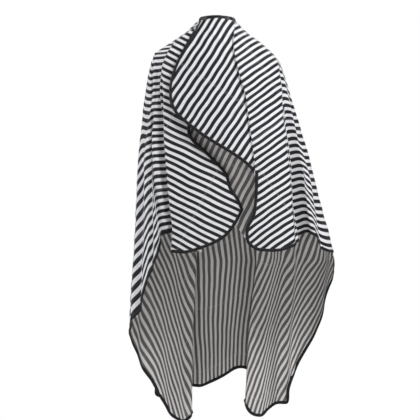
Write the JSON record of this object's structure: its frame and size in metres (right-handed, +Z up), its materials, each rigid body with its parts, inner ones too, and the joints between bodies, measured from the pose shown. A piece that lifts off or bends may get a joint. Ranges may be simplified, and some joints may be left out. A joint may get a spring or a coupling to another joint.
{
  "type": "barber cape",
  "caption": "Striped barber cape draped as on a wearer, lapped and snapped at the back of the neck, short back and long front.",
  "frame": {"origin": "centre of the neck opening, on its tilted axis", "axes": "+Z up, wearer faces +Y, closure at the back on the -Y side, +X to the wearer's right as seen from behind"},
  "size_m": [0.6168, 0.361, 1.2081],
  "materials": {
    "striped_cloth": "thin plain-woven polyester, black and white stripes 10 mm wide, soft sheen",
    "binding_tape": "black folded bias tape, stitched",
    "neckband_cloth": "black woven band, satin",
    "snap_plastic": "black moulded snap cap",
    "snap_metal": "plated pressed steel"
  },
  "bodies": {
    "root": {"binding_front_panel": "binding_tape", "binding_left_flap": "binding_tape", "binding_left_side": "binding_tape", "binding_right_flap": "binding_tape", "binding_right_side": "binding_tape", "cloth_front_panel": "striped_cloth", "cloth_left_flap": "striped_cloth", "cloth_left_side": "striped_cloth", "cloth_right_flap": "striped_cloth", "cloth_right_side": "striped_cloth", "cloth_yoke_back": "striped_cloth", "cloth_yoke_front": "striped_cloth", "neckband_inner_ply": "neckband_cloth", "neckband_lap": "neckband_cloth", "neckband_outer_ply": "neckband_cloth", "snap_cap_1": "snap_plastic", "snap_cap_2": "snap_plastic", "snap_ring_1": "snap_metal", "snap_ring_2": "snap_metal", "snap_ring_3": "snap_metal", "snap_ring_4": "snap_metal", "snap_ring_5": "snap_metal", "snap_socket_1": "snap_metal", "snap_socket_2": "snap_metal", "snap_socket_3": "snap_metal", "snap_socket_4": "snap_metal", "snap_socket_5": "snap_metal", "snap_stud_1": "snap_metal", "snap_stud_2": "snap_metal"}
  },
  "joints": []
}
